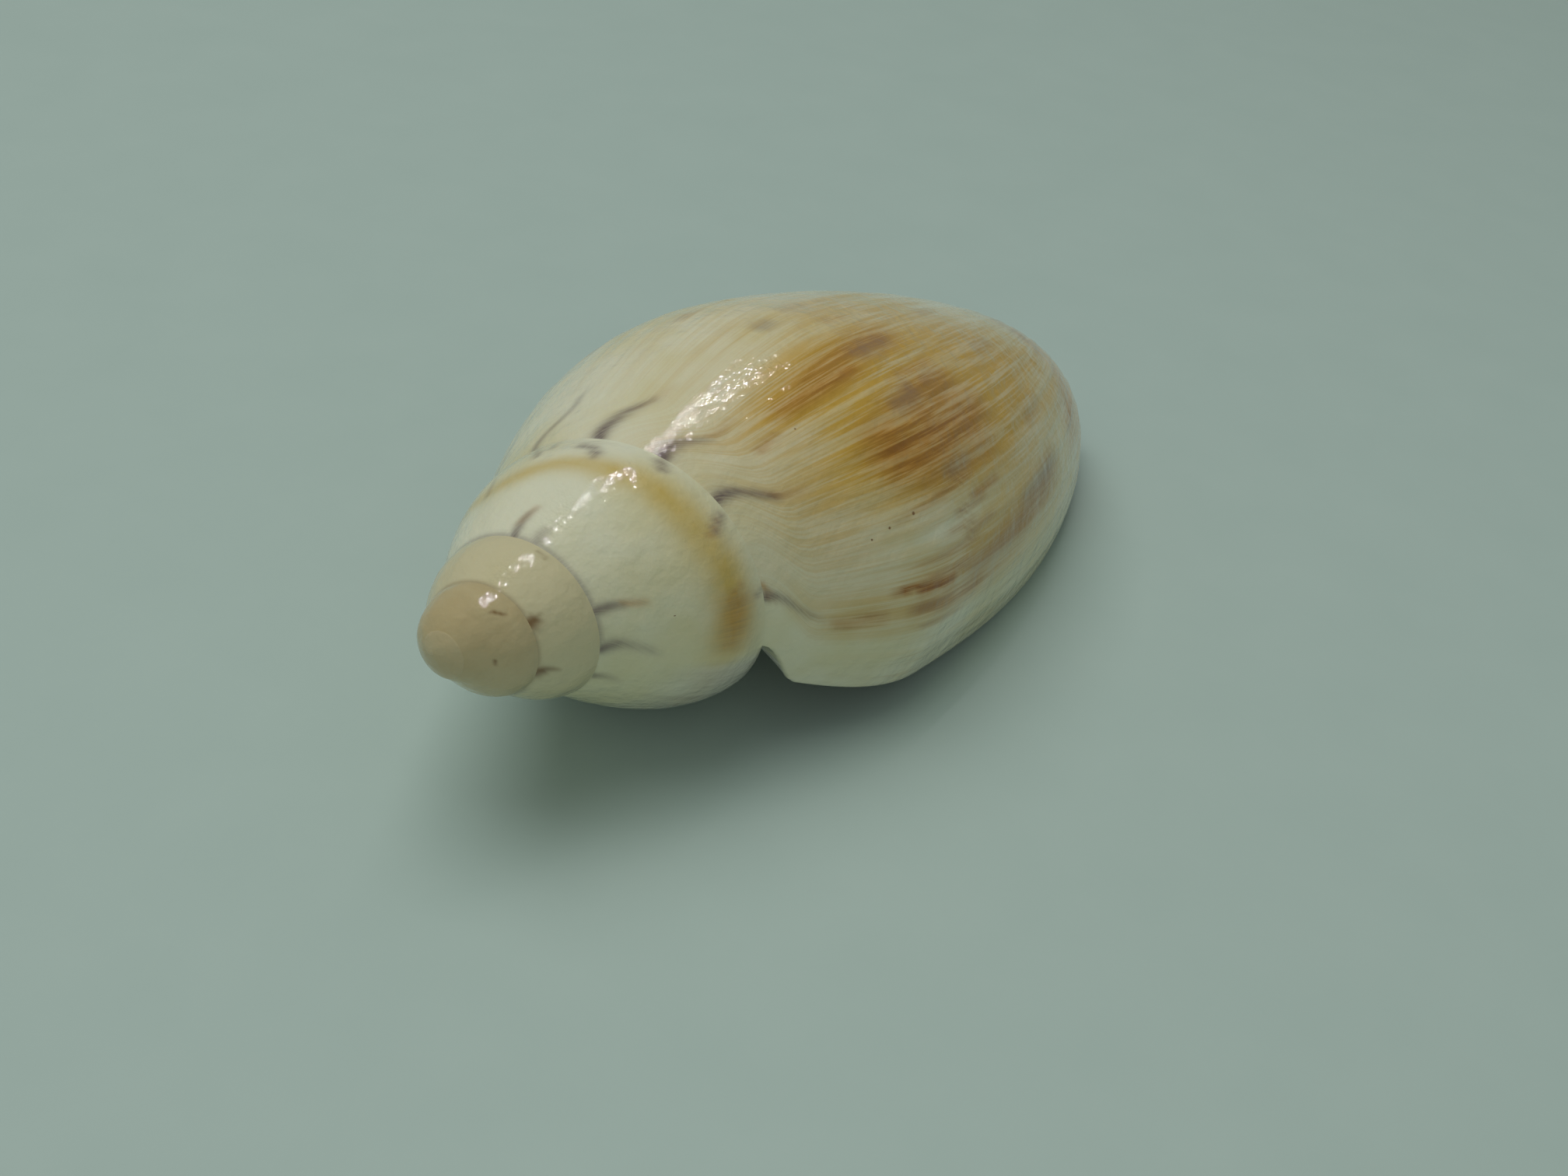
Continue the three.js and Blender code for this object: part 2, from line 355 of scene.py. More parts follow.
def floor_radius(whorl, depth):
    """The hollow's inner side: the whorl before or the columella, under a glaze, with its folds."""
    before = whorl + 1
    drop = depth - suture_depth(before)
    previous = np.where(drop < front_drop(before), outer_radius(before, drop), 0)
    offsets = [(depth - start + PLAIT_RISE * whorl) / PLAIT_WIDTH for start in PLAIT_DEPTHS]
    folds = sum(np.exp(-(offset**2)) for offset in offsets)
    folds = folds * PLAIT_HEIGHT * smoothstep(whorl, -PLAIT_START, 0)
    return np.maximum(previous, columella_radius(depth)) + GLAZE + folds


def wall_at(whorl, depth):
    """The wall's thickness, which goes down to the lip's edge and the front margin."""
    from_lip = smoothstep(whorl, -LIP_REACH, THINNING)
    from_front = 1 - smoothstep(depth, SHELL_LENGTH - 20, SHELL_LENGTH)
    return lerp(LIP_EDGE, WALL, from_lip * from_front)


def ceiling_radius(whorl, drop):
    """Inner side of the wall, rounded out where it meets the lip's edge and the front margin."""
    depth = suture_depth(whorl) + drop
    outer = outer_radius(whorl, drop)
    length = front_drop(whorl)
    from_lip = (whorl + lip_reach(np.clip(drop / length, 0, 1))) * 2 * np.pi * outer
    edge = np.maximum(rounding(from_lip), rounding(length - drop))
    wall = wall_at(whorl, depth)
    return np.maximum(outer - wall + edge * ROUND_OUT, floor_radius(whorl, depth) + LEAST_ROOM)


def hollow():
    """The hollow of the last whorl, run out past the lip and the front margin."""
    skin = Skin()
    far = np.linspace(HOLLOW_WHORLS, EDGE_START, HOLLOW_ROWS)
    near = np.linspace(EDGE_START, EDGE_END, 14)[1:-1]
    edge = np.linspace(EDGE_END, PAST_EDGE, 18)
    rings = []
    for place in np.concatenate([far, near, edge, [-0.01, -0.03, -OVERRUN]]):
        held = 1 - smoothstep(place, 0.05, 0.4)
        top = float(suture_depth(place)) + HOLLOW_DROP
        is_open = float(smoothstep(CANAL_WHORLS - place, 0, 0.12))
        bottom = lerp(top + INNER_SHARE * (SHELL_LENGTH - top), SHELL_LENGTH + 1, is_open)
        first, last = (
            np.clip(depth - PLAIT_RISE * place, top, bottom)
            for depth in (PLAIT_DEPTHS[0] - 3 * PLAIT_WIDTH, PLAIT_DEPTHS[-1] + 3 * PLAIT_WIDTH)
        )
        down = np.linspace(top, bottom, CEILING_POINTS + 1)
        front, folds, back = FLOOR_POINTS
        up = np.concatenate(
            [
                np.linspace(bottom, last, front, endpoint=False),
                np.linspace(last, first, folds, endpoint=False),
                np.linspace(first, top, back + 1),
            ]
        )
        points = []
        for depths, is_ceiling in ((down, True), (up, False)):
            drop = depths - float(suture_depth(place))
            whorl = place - lip_reach(np.clip(drop / float(front_drop(place)), 0, 1)) * held
            depth = suture_depth(whorl) + drop
            radius = ceiling_radius(whorl, drop) if is_ceiling else floor_radius(whorl, depth)
            points.append(to_point(whorl, radius, depth))
        ring = skin.row(np.concatenate(points))
        rings.append(np.append(ring, ring[0]))
    for a, b in zip(rings, rings[1:]):
        skin.join_even(a, b)
    for ring, flip in ((rings[0], True), (rings[-1], False)):
        ceiling = ring[: CEILING_POINTS + 1]
        floor = ring[CEILING_POINTS + 1 : -1][::-1]
        if flip:
            skin.join(floor, ceiling)
        else:
            skin.join(ceiling, floor)
    made = skin.to_object("hollow")
    work = bmesh.new()
    work.from_mesh(made.data)
    bmesh.ops.remove_doubles(work, verts=work.verts, dist=MERGE)
    work.to_mesh(made.data)
    work.free()
    return made


def cut(body, tool):
    """Takes the tool out of the body, and keeps the result on the body."""
    step = body.modifiers.new("hollow", "BOOLEAN")
    step.operation = "DIFFERENCE"
    step.solver = "MANIFOLD"
    step.object = tool
    bpy.context.view_layer.update()
    evaluated = body.evaluated_get(bpy.context.evaluated_depsgraph_get())
    mesh = bpy.data.meshes.new_from_object(evaluated)
    body.modifiers.clear()
    body.data = mesh
    bpy.data.objects.remove(tool)


def coordinates(mesh):
    """The mesh's vertices as an array."""
    co = np.empty(len(mesh.vertices) * 3)
    mesh.vertices.foreach_get("co", co)
    return co.reshape(-1, 3)


def lay_down(mesh):
    """Lays the shell on z = 0 as the part lies, with the middle of its box over the origin."""
    pitch = Matrix.Rotation(math.radians(PITCH - 90), 4, "Y")
    mesh.transform(pitch @ Matrix.Rotation(math.radians(ROLL - 90), 4, "Z"))
    co = coordinates(mesh)
    low, high = co.min(0), co.max(0)
    shift = np.array([-(low[0] + high[0]) / 2, -(low[1] + high[1]) / 2, -low[2]])
    box = np.array(cad_box)
    fit = min(1, float(((box[1] - box[0]) / (high - low)).min()))
    mesh.vertices.foreach_set("co", ((co + shift) * fit).ravel())
    mesh.update()


def corner_places(mesh):
    """For every face corner its whorl, drop, side and radius.

    Side 0 is the outside, 1 the wall's inside and 2 the hollow's floor.
    """
    co = coordinates(mesh) / MM
    corner = np.empty(len(mesh.loops), int)
    mesh.loops.foreach_get("vertex_index", corner)
    start = np.empty(len(mesh.polygons), int)
    total = np.empty(len(mesh.polygons), int)
    mesh.polygons.foreach_get("loop_start", start)
    mesh.polygons.foreach_get("loop_total", total)
    middle = np.add.reduceat(co[corner], start) / total[:, None]

    def turn_of(points):
        return ((np.arctan2(points[:, 1], points[:, 0]) - math.radians(LIP_BEARING)) / (2 * np.pi)) % 1

    turn = turn_of(middle)
    radius = np.hypot(middle[:, 0], middle[:, 1])
    depth = -middle[:, 2]
    best = np.full(len(middle), 2 * NOT_HERE)
    whorl = np.zeros(len(middle))
    side = np.zeros(len(middle), int)
    for count in range(-1, WHORLS + 1):
        here = turn + count
        drop = depth - suture_depth(here)
        length = np.where(here < 1, front_drop(here), crest_drop(here)) + 0.3
        error = np.abs(radius - outer_radius(here, np.clip(drop, 0, None)))
        error[(here < -LIP_REACH - 0.01) | (drop < -0.3) | (drop > length)] = NOT_HERE
        choices = [error]
        inner = (here > -0.07) & (here < HOLLOW_WHORLS + 0.05) & (drop > HOLLOW_DROP - 1)
        for surface in (ceiling_radius(here, np.clip(drop, 0, None)), floor_radius(here, depth)):
            choices.append(np.where(inner, np.abs(radius - surface), NOT_HERE))
        for number, error in enumerate(choices):
            nearer = error < best - 1e-6
            best[nearer] = error[nearer]
            whorl[nearer] = here[nearer]
            side[nearer] = number
    face = np.repeat(np.arange(len(middle)), total)
    points = co[corner]
    off = turn_of(points) - turn[face]
    off -= np.round(off)
    at_axis = np.hypot(points[:, 0], points[:, 1]) < 1e-3
    corner_whorl = whorl[face] + np.where(at_axis, 0, off)
    corner_drop = -points[:, 2] - suture_depth(corner_whorl)
    return corner_whorl, np.clip(corner_drop, 0, None), side[face], np.hypot(points[:, 0], points[:, 1])


# Marks on the shell; one of the brown strokes is painted shade in the small gap at the lip's upper corner.
# Each stroke is a line of places, growth and drop, then its half width in millimetres at the start and at
# the end, and its strength at the start and at the end.
VIOLET_STROKES = [
    ([(0.166, 0.0), (0.180, 1.8), (0.189, 3.4), (0.190, 4.8)], (0.55, 0.45), (1.15, 0.55)),
    ([(0.234, 0.0), (0.250, 1.6), (0.263, 3.9)], (0.65, 0.50), (1.15, 0.55)),
    ([(0.305, 0.0), (0.322, 1.8), (0.337, 3.4), (0.333, 4.6), (0.328, 5.6)], (0.60, 0.50), (1.10, 0.50)),
    ([(0.386, 0.0), (0.398, 2.2), (0.408, 4.2), (0.410, 5.4), (0.403, 6.8)], (0.40, 0.40), (0.75, 0.26)),
    ([(0.056, 0.0), (0.068, 2.0), (0.077, 3.8), (0.074, 5.4)], (0.45, 0.40), (1.00, 0.30)),
    ([(0.316, 16.2), (0.318, 19.6)], (0.90, 0.80), (0.75, 0.60)),
    ([(0.322, 20.5), (0.322, 26.5)], (0.70, 0.60), (0.40, 0.30)),
    ([(0.257, 19.0), (0.259, 28.0)], (1.00, 0.90), (0.80, 0.60)),
    ([(0.210, 18.0), (0.220, 24.5)], (1.10, 1.20), (0.75, 0.70)),
    ([(0.219, 25.0), (0.226, 29.0)], (0.80, 0.60), (0.40, 0.30)),
    ([(0.154, 20.5), (0.159, 27.0)], (0.90, 0.80), (0.80, 0.50)),
    ([(0.222, 39.0), (0.223, 46.5)], (1.00, 0.80), (0.55, 0.40)),
    ([(0.151, 39.5), (0.160, 47.5)], (1.10, 0.90), (0.50, 0.40)),
    ([(0.104, 33.0), (0.108, 40.0), (0.112, 46.5)], (1.00, 1.10), (0.50, 0.90)),
    ([(0.276, 37.5), (0.272, 44.0)], (0.90, 0.80), (0.40, 0.30)),
    ([(1.330, 8.6), (1.342, 9.4), (1.356, 9.4)], (0.50, 0.45), (1.00, 0.90)),
    ([(1.399, 7.2), (1.402, 7.9), (1.420, 9.6)], (0.38, 0.34), (1.00, 0.36)),
    ([(1.390, 8.8), (1.396, 10.3)], (0.34, 0.34), (0.56, 0.34)),
    ([(1.260, 10.4), (1.272, 11.2), (1.285, 12.2)], (0.60, 0.55), (1.00, 1.00)),
    ([(1.178, 10.2), (1.194, 12.0), (1.204, 12.8)], (0.45, 0.55), (0.90, 1.15)),
    ([(1.107, 13.1), (1.112, 14.2)], (0.34, 0.34), (0.86, 0.77)),
    ([(1.448, 3.6), (1.455, 6.6)], (0.34, 0.34), (0.42, 0.34)),
    ([(1.018, 0.0), (1.036, 1.2), (1.050, 3.0), (1.060, 5.0)], (0.50, 0.55), (0.95, 0.25)),
    ([(1.092, 0.0), (1.102, 1.2), (1.113, 2.3)], (0.50, 0.35), (1.00, 0.55)),
    ([(1.300, 0.0), (1.310, 1.0), (1.321, 2.1)], (0.42, 0.34), (1.00, 0.41)),
    ([(1.256, 0.0), (1.268, 1.2)], (0.65, 0.45), (0.60, 0.40)),
    ([(0.955, 0.1), (0.969, 1.9)], (0.40, 0.40), (0.80, 0.26)),
    ([(0.470, 0.0), (0.496, 3.4), (0.490, 6.0)], (0.40, 0.40), (0.90, 0.17)),
    ([(0.548, 0.0), (0.576, 3.6), (0.570, 5.2)], (0.40, 0.40), (0.90, 0.17)),
    ([(0.636, 0.0), (0.664, 3.2), (0.658, 6.8)], (0.40, 0.40), (0.90, 0.17)),
    ([(0.724, 0.0), (0.746, 3.0)], (0.40, 0.40), (0.80, 0.17)),
    ([(0.835, 0.0), (0.862, 4.0), (0.856, 7.0)], (0.40, 0.40), (0.80, 0.19)),
    ([(1.500, 0.0), (1.520, 2.4)], (0.35, 0.34), (0.80, 0.17)),
    ([(1.610, 0.0), (1.628, 2.0)], (0.35, 0.34), (0.80, 0.17)),
    ([(1.722, 0.0), (1.742, 2.4)], (0.35, 0.34), (0.80, 0.17)),
    ([(1.850, 0.0), (1.868, 2.0)], (0.35, 0.34), (0.80, 0.17)),
    ([(0.415, 24.0), (0.412, 31.0)], (1.00, 0.80), (0.60, 0.40)),
    ([(0.500, 16.0), (0.498, 22.0)], (1.00, 0.80), (0.60, 0.40)),
    ([(0.515, 38.0), (0.510, 46.0)], (0.90, 0.80), (0.50, 0.40)),
    ([(0.600, 26.0), (0.596, 35.0)], (1.10, 0.80), (0.70, 0.40)),
    ([(0.690, 17.0), (0.684, 27.0)], (1.00, 0.80), (0.70, 0.40)),
    ([(0.745, 30.0), (0.738, 42.0)], (1.10, 0.80), (0.70, 0.40)),
    ([(0.790, 20.0), (0.784, 33.0)], (1.10, 0.70), (0.70, 0.40)),
    ([(0.835, 36.0), (0.828, 47.0)], (0.90, 0.70), (0.60, 0.40)),
    ([(0.880, 24.0), (0.875, 32.0)], (0.90, 0.60), (0.60, 0.40)),
]
BROWN_STROKES = [
    ([(0.0885, 12.2), (0.0900, 13.6)], (0.50, 0.45), (1.20, 1.20)),
    ([(0.0860, 13.4), (0.0840, 21.0)], (1.00, 1.20), (1.20, 0.72)),
    ([(0.0925, 14.0), (0.0915, 24.0)], (0.40, 0.40), (1.01, 0.52)),
    ([(0.0730, 12.0), (0.0690, 19.0), (0.0650, 28.0)], (1.00, 1.20), (0.78, 0.42)),
    ([(0.0720, 4.6), (0.0680, 6.6), (0.0700, 9.0), (0.0690, 12.0)], (0.55, 0.90), (0.84, 0.60)),
    ([(0.0560, 14.0), (0.0540, 24.0)], (0.40, 0.40), (0.44, 0.31)),
    ([(0.1370, 10.5), (0.1420, 15.0), (0.1470, 21.0), (0.1495, 28.0)], (0.40, 0.40), (0.53, 0.60)),
    ([(0.1180, 18.0), (0.1190, 25.0)], (0.40, 0.40), (0.62, 0.34)),
    ([(0.1270, 20.0), (0.1285, 28.0)], (0.40, 0.40), (0.73, 0.48)),
    ([(0.1330, 23.0), (0.1345, 31.0)], (0.40, 0.40), (0.67, 0.52)),
    ([(0.1110, 21.0), (0.1130, 29.0)], (0.40, 0.40), (0.52, 0.38)),
    ([(0.1030, 12.5), (0.1050, 26.0)], (0.40, 0.40), (0.34, 0.60)),
    ([(0.1620, 14.0), (0.1600, 24.0), (0.1620, 34.0)], (1.60, 1.80), (0.50, 0.55)),
    ([(0.1740, 11.0), (0.1730, 22.0), (0.1750, 34.0)], (1.80, 2.00), (0.80, 0.65)),
    ([(0.1870, 10.0), (0.1860, 22.0), (0.1850, 36.0)], (2.00, 2.20), (0.90, 0.70)),
    ([(0.1990, 11.0), (0.1980, 22.0), (0.1990, 34.0)], (1.80, 2.00), (0.80, 0.55)),
    ([(0.2090, 15.0), (0.2090, 24.0), (0.2100, 33.0)], (1.50, 1.60), (0.60, 0.55)),
    ([(0.2180, 20.0), (0.2190, 32.0)], (0.80, 0.90), (0.65, 0.65)),
    ([(0.2490, 7.0), (0.2500, 14.0), (0.2510, 21.0)], (1.20, 1.00), (0.60, 0.85)),
    ([(0.2560, 9.0), (0.2620, 18.0), (0.2645, 31.0)], (1.30, 1.50), (0.55, 0.65)),
    ([(0.2290, 21.0), (0.2310, 31.0)], (0.50, 0.50), (0.52, 0.39)),
    ([(0.2320, 5.6), (0.2365, 7.6)], (0.40, 0.40), (1.01, 0.39)),
    ([(0.1900, 4.0), (0.1875, 6.2)], (0.40, 0.40), (0.98, 0.33)),
    ([(0.2620, 3.8), (0.2680, 5.4)], (0.40, 0.40), (0.65, 0.34)),
    ([(0.3340, 4.0), (0.3280, 6.2)], (0.40, 0.40), (0.47, 0.26)),
    ([(0.3780, 16.0), (0.3790, 19.0)], (0.60, 0.50), (0.45, 0.30)),
    ([(0.2930, 22.0), (0.2925, 27.0)], (0.40, 0.40), (0.48, 0.26)),
    ([(1.1070, 1.5), (1.1180, 2.8), (1.1320, 3.9)], (0.35, 0.34), (0.60, 0.38)),
    ([(1.3140, 1.2), (1.3230, 2.4)], (0.34, 0.34), (0.47, 0.34)),
    ([(1.0450, 10.4), (1.0950, 10.8), (1.1300, 11.2)], (1.70, 1.90), (0.40, 0.62)),
    ([(1.1200, 11.0), (1.1250, 11.6)], (0.50, 0.45), (0.50, 0.40)),
    ([(1.1840, 10.4), (1.1960, 11.8)], (0.34, 0.34), (0.47, 0.47)),
    ([(2.1130, 0.0), (2.1220, 0.5)], (0.66, 0.42), (1.00, 1.00)),
    ([(2.1180, 0.4), (2.1420, 1.1)], (0.22, 0.12), (0.80, 0.30)),
    ([(1.9870, 0.0), (1.9950, 0.5)], (0.66, 0.42), (1.00, 1.00)),
    ([(1.9950, 0.4), (2.0100, 1.2), (2.0270, 2.2)], (0.34, 0.14), (0.90, 0.30)),
    ([(2.2640, 4.35), (2.2860, 4.45)], (0.16, 0.12), (0.60, 0.40)),
    ([(3.2345, 2.4), (3.2146, 2.85), (3.1960, 3.35)], (0.14, 0.12), (1.00, 0.80)),
    ([(3.0860, 1.60), (3.0550, 1.76)], (0.10, 0.08), (0.90, 0.60)),
    ([(0.250, 57.0), (0.227, 60.0), (0.174, 62.4), (0.123, 61.2), (0.100, 50.0)], (3.0, 2.4), (0.95, 0.80)),
    # Painted shade: a dark line in the small gap where the lip's upper corner meets the suture.
    ([(0.0700, 0.0), (0.0640, 0.4), (0.0570, 0.3)], (0.34, 0.34), (1.20, 1.20)),
    ([(0.4550, 12.0), (0.4520, 22.0), (0.4500, 34.0)], (1.20, 1.60), (0.35, 0.60)),
    ([(0.5450, 20.0), (0.5420, 40.0)], (1.60, 1.60), (0.50, 0.60)),
    ([(0.5650, 14.0), (0.5620, 36.0)], (1.30, 1.40), (0.50, 0.50)),
    ([(0.6300, 14.0), (0.6280, 30.0), (0.6260, 44.0)], (1.20, 1.40), (0.35, 0.55)),
]
# The length of a whorl, in millimetres, that turns a dot's growth into a distance.
DOT_WHORL = 120
# Small brown dots: growth, drop, half width in millimetres.
DOTS = [
    (0.1375, 12.0, 0.17),
    (0.1416, 14.9, 0.22),
    (0.1331, 10.0, 0.14),
    (0.2325, 9.1, 0.12),
    (1.1101, 5.4, 0.12),
]
# Mauve brown that lies along the growth lines behind the lip.
MAUVE_STROKES = [
    ([(0.086, 18.0), (0.081, 25.0), (0.088, 33.0), (0.099, 41.0), (0.112, 50.0)], (1.6, 2.4), (0.75, 0.8)),
    ([(0.072, 21.0), (0.070, 28.0), (0.080, 38.0)], (1.2, 1.6), (0.45, 0.35)),
]
# Soft washes of tan, and of pale where negative: growth, drop, half widths in whorls and in millimetres,
# and strength.
TAN_WASHES = [
    (0.188, 22, 0.044, 12, 1.12),
    (0.200, 22, 0.100, 20, 0.42),
    (0.254, 15, 0.028, 11, 0.85),
    (0.195, 40, 0.065, 13, 0.90),
    (0.170, 58, 0.080, 9, 0.80),
    (0.090, 30, 0.030, 18, 0.75),
    (0.070, 10, 0.018, 8, 0.35),
    (0.300, 30, 0.045, 16, 0.40),
    (0.150, 6, 0.080, 5, 0.30),
    (0.330, 8, 0.060, 8, 0.15),
    (0.125, 21, 0.014, 9, -0.45),
    (0.032, 24, 0.014, 22, -0.45),
    (0.236, 22, 0.008, 9, -0.30),
    (0.510, 32, 0.080, 16, 0.50),
    (0.620, 26, 0.060, 16, 0.45),
    (0.420, 40, 0.060, 14, 0.40),
]
# The ochre band round the last whorl of the spire: growth, drop, half width in millimetres, strength.
OCHRE_BAND = [
    (0.95, 10.0, 1.69, 0.27),
    (1.00, 10.2, 1.69, 0.50),
    (1.05, 10.4, 2.30, 0.80),
    (1.10, 10.6, 2.50, 0.98),
    (1.15, 10.2, 2.20, 0.92),
    (1.20, 9.5, 1.90, 0.90),
    (1.25, 8.8, 1.65, 0.92),
    (1.30, 7.9, 1.45, 0.90),
    (1.35, 6.9, 1.04, 0.77),
    (1.40, 5.5, 0.91, 0.68),
    (1.45, 4.4, 0.78, 0.59),
    (1.60, 4.4, 1.04, 0.36),
    (1.80, 6.0, 1.17, 0.27),
    (2.00, 6.5, 1.17, 0.00),
]
# A stroke's length is counted with about this many millimetres to a whorl. A long one fades in its last
# quarter, and also at its start where it starts away from the suture.
WHORL_LENGTH = 100
LONG_STROKE = 3
SUTURE_START = 1
FADE_OUT = 0.75
FADE_IN = 0.22
# How far from a stroke it still counts: widths, and whorls.
REACH_WIDTHS, REACH_WHORLS = 3, 0.05
# The thin lines along the sutures: the whorls over which they come and go, half width and strength.
BROWN_SEAM = ((1.92, 1.98), (2.4, 2.6), 0.22, 0.42)
VIOLET_SEAM = ((0.99, 1.03), (1.9, 1.95), 0.30, 0.55)


def strokes_at(strokes, place, drop, radius):
    """Strength of a set of strokes at every corner."""
    found = np.zeros(len(place))
    for line, widths, strengths in strokes:
        (low_g, low_d), (high_g, high_d) = np.min(line, 0), np.max(line, 0)
        reach = REACH_WIDTHS * max(widths)
        near = (drop > low_d - reach) & (drop < high_d + reach)
        near &= (place > low_g - REACH_WHORLS) & (place < high_g + REACH_WHORLS)
        index = np.nonzero(near)[0]
        if len(index) == 0:
            continue
        g, d, round_axis = place[index], drop[index], 2 * np.pi * radius[index]
        lengths = [math.hypot((b[0] - a[0]) * WHORL_LENGTH, b[1] - a[1]) for a, b in zip(line, line[1:])]
        total = sum(lengths)
        is_long = total > LONG_STROKE
        done = 0
        for (a, b), length in zip(zip(line, line[1:]), lengths):
            across = (b[0] - a[0]) * round_axis
            along = b[1] - a[1]
            x = (g - a[0]) * round_axis
            y = d - a[1]
            share = np.clip((x * across + y * along) / np.maximum(across**2 + along**2, 1e-9), 0, 1)
            distance = np.hypot(x - share * across, y - share * along)
            run = (done + share * length) / total
            width = lerp(widths[0], widths[1], run)
            taper = 1 - smoothstep(run, FADE_OUT, 1) if is_long else 1
            if is_long and line[0][1] > SUTURE_START:
                taper = taper * smoothstep(run, 0, FADE_IN)
            mask = taper * lerp(strengths[0], strengths[1], run) * np.exp(-((distance / width) ** 2))
            found[index] = np.maximum(found[index], mask)
            done += length
    return found


def seam_at(whorl, drop, seam):
    """Strength of a thin line along the suture."""
    (come_low, come_high), (go_low, go_high), width, strength = seam
    there = smoothstep(whorl, come_low, come_high) * (1 - smoothstep(whorl, go_low, go_high))
    return strength * (there * np.exp(-((drop / width) ** 2)))


def paint(mesh, places):
    """Stores where each corner is and how strongly it is stained, with a line of painted shade at the lip's
    upper corner among the brown strokes, for the material to use.
    """
    whorl, drop, side, radius = places
    outside = side == 0
    place = growth(whorl, drop)
    violet = strokes_at(VIOLET_STROKES, place, drop, radius)
    brown = strokes_at(BROWN_STROKES, place, drop, radius)
    mauve = strokes_at(MAUVE_STROKES, place, drop, radius)
    tan = np.zeros(len(place))
    for g, d, wide, tall, strength in TAN_WASHES:
        tan += strength * np.exp(-(((place - g) / wide) ** 2) - ((drop - d) / tall) ** 2)
    growths, drops, widths, strengths = np.array(OCHRE_BAND).T
    off_band = (drop - np.interp(place, growths, drops)) / np.interp(place, growths, widths)
    ochre = np.interp(place, growths, strengths, left=0, right=0) * np.exp(-(off_band**2))
    ochre = ochre * (whorl > 0.9)
    brown = np.maximum(brown, seam_at(whorl, drop, BROWN_SEAM))
    violet = np.maximum(violet, seam_at(whorl, drop, VIOLET_SEAM))
    spire = smoothstep(whorl, 1.6, 1.98)
    dome = smoothstep(whorl, 2.6, 3.0)
    glaze = smoothstep(whorl, 0.56, 0.70) * (1 - smoothstep(whorl, 0.98, 1.0)) * smoothstep(drop, 3, 12)
    mouth = np.where(side == 1, smoothstep(place, 0.022, 0.055), smoothstep(whorl, 0.02, 0.30))
    deep = smoothstep(place, 0.15, 0.75)
    rim = smoothstep(drop + suture_depth(whorl), 79, 90)
    values = {
        "place": (place, drop, np.minimum(side, 1)),
        "stain_and_shade": (brown * outside, violet * outside, ochre * outside),
        "wash": (np.clip(tan, 0, 1) * outside, mauve * outside, glaze * outside),
        "zone": (spire * outside, dome * outside, rim),
        "inner": (np.where(outside, 0, mouth), np.where(outside, 0, deep), 0.0 * place),
    }
    for name, parts in values.items():
        layer = mesh.attributes.new(name, "FLOAT_VECTOR", "CORNER")
        layer.data.foreach_set("vector", np.stack(parts, 1).astype(np.float32).ravel())


def linear(red, green, blue):
    """A colour given as 0 to 255 screen values."""
    shares = [c / 255 for c in (red, green, blue)]
    return tuple(((c + 0.055) / 1.055) ** 2.4 if c > 0.04 else c / 12.92 for c in shares) + (1,)


# The tones of the shell, the floor and the room, as screen values.
SCREEN_TONES = {
    "enamel": (226, 225, 198),
    "warm_enamel": (216, 210, 168),
    "broad_streak": (204, 182, 124),
    "fine_streak": (194, 166, 104),
    "white_streak": (232, 228, 208),
    "tan": (200, 160, 62),
    "early_whorl": (200, 188, 144),
    "dome": (184, 166, 122),
    "tip": (206, 194, 160),
    "ochre": (200, 172, 84),
    "mauve": (156, 112, 62),
    "golden_brown": (180, 120, 30),
    "dark_brown": (142, 86, 14),
    "spire_brown": (112, 74, 22),
    "violet": (128, 108, 100),
    "suture_violet": (100, 82, 82),
    "dot": (112, 70, 24),
    "glaze": (206, 202, 186),
    "grey_glaze": (178, 170, 160),
    "glaze_violet": (128, 112, 116),
    "lip_white": (232, 228, 212),
    "lip_cream": (216, 204, 176),
    "orange": (206, 128, 44),
    "deep_orange": (184, 98, 30),
    "inner_brown": (140, 66, 24),
    "front_tan": (212, 172, 112),
    "floor_dark": (174, 194, 186),
    "floor_light": (180, 199, 191),
    "room": (226, 236, 230),
}
TONE = {name: linear(*values) for name, values in SCREEN_TONES.items()}
# Streaks: how often they repeat per whorl, per millimetre of drop and across the sides.
FINE_STREAKS = (420, 0.09, 1)
BROAD_STREAKS = (95, 0.05, 1)
# Clouds and patches of tone, per metre.
CLOUD_SCALE = 70.0
PATCH_SCALE = 260.0
# Unevenness of the glaze: noise scale, detail and roughness, then the bump's strength and height in metres.
SWELLS = ((170.0, 2.0, 0.5), (0.24, 0.0009))
DIMPLES = ((380.0, 1.0, 0.4), (0.8, 0.00022))
PITS = ((1100.0, 2.0, 0.5), (0.75, 0.00015))
RIDGE_BUMP = (0.11, 0.00022)


